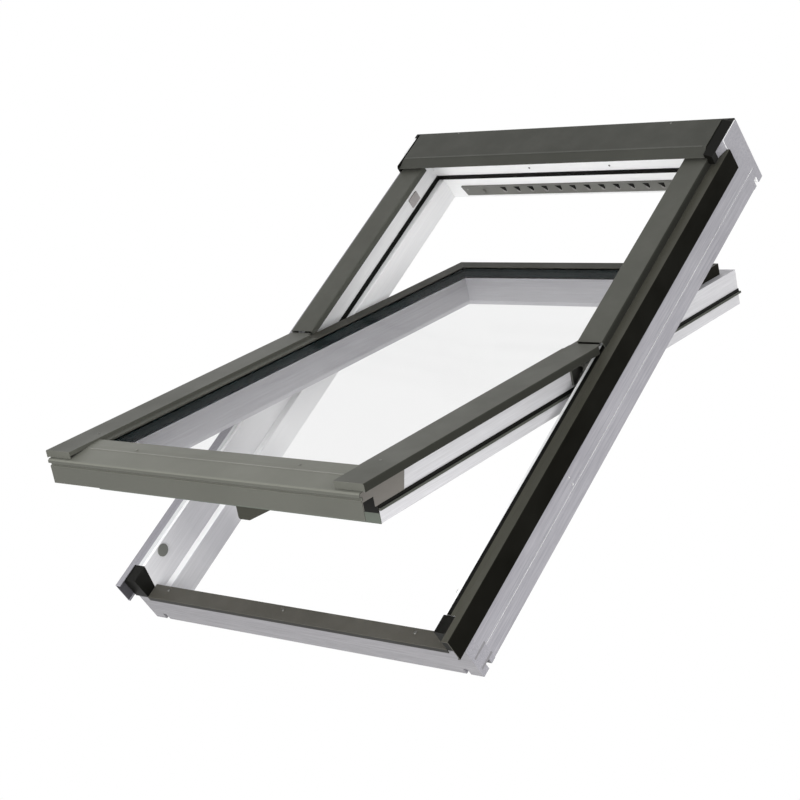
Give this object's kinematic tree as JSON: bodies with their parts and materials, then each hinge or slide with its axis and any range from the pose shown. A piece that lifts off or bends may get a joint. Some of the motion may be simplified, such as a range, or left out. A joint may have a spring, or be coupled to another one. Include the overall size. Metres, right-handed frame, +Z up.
{
  "type": "centre pivot window",
  "caption": "Roof window with a white timber frame and a sash swung open on its pivot, glazed, with grey-brown metal covers, hood, ventilator slot, handle and curved friction hinges.",
  "frame": {"origin": "middle of the flat lower end of the frame's sill, half way across the width", "axes": "+X to the right seen from outside, +Y level from the weather side towards the room, +Z up; the frame leans back at its roof pitch"},
  "size_m": [0.79, 1.1334, 0.9369],
  "materials": {
    "painted_timber": "satin white paint",
    "coated_metal": "satin grey-brown coating",
    "dark_metal": "satin dark coating",
    "window_glass": "clear",
    "glass_edge": "matte",
    "black_rubber": "matte",
    "black_plastic": "matte",
    "grey_plastic": "satin",
    "hinge_steel": "zinc plated",
    "handle_metal": "satin dark grey"
  },
  "bodies": {
    "root": {"left_jamb": "painted_timber", "right_jamb": "painted_timber", "head": "painted_timber", "sill": "painted_timber", "left_corner_block": "black_plastic", "right_corner_block": "black_plastic", "left_side_channel": "dark_metal", "right_side_channel": "dark_metal", "sill_strip": "coated_metal", "left_upper_cover": "coated_metal", "right_upper_cover": "coated_metal", "hood": "coated_metal", "hood_ends": "black_plastic", "jamb_seals": "black_rubber", "catch_plate": "grey_plastic", "left_frame_gasket": "black_rubber", "right_frame_gasket": "black_rubber", "head_gasket": "black_rubber", "ventilator": "grey_plastic", "vent_knob": "grey_plastic", "left_plug": "grey_plastic", "right_plug": "grey_plastic", "left_stile": "painted_timber", "right_stile": "painted_timber", "bottom_rail": "painted_timber", "top_rail": "painted_timber", "outer_pane": "window_glass", "inner_pane": "window_glass", "glass_spacer": "glass_edge", "left_side_cover": "coated_metal", "right_side_cover": "coated_metal", "apron": "coated_metal", "left_apron_bracket": "coated_metal", "right_apron_bracket": "coated_metal", "left_glazing_bead": "coated_metal", "right_glazing_bead": "coated_metal", "top_glazing_bead": "coated_metal", "left_sash_seal": "black_rubber", "right_sash_seal": "black_rubber", "left_drip_strip": "coated_metal", "right_drip_strip": "coated_metal", "foot_strip": "dark_metal", "handle_base": "handle_metal", "handle_lever": "handle_metal", "left_hinge_track": "hinge_steel", "right_hinge_track": "hinge_steel", "left_hinge_link": "hinge_steel", "right_hinge_link": "hinge_steel", "left_hinge_shoe": "hinge_steel", "right_hinge_shoe": "hinge_steel"}
  },
  "joints": []
}
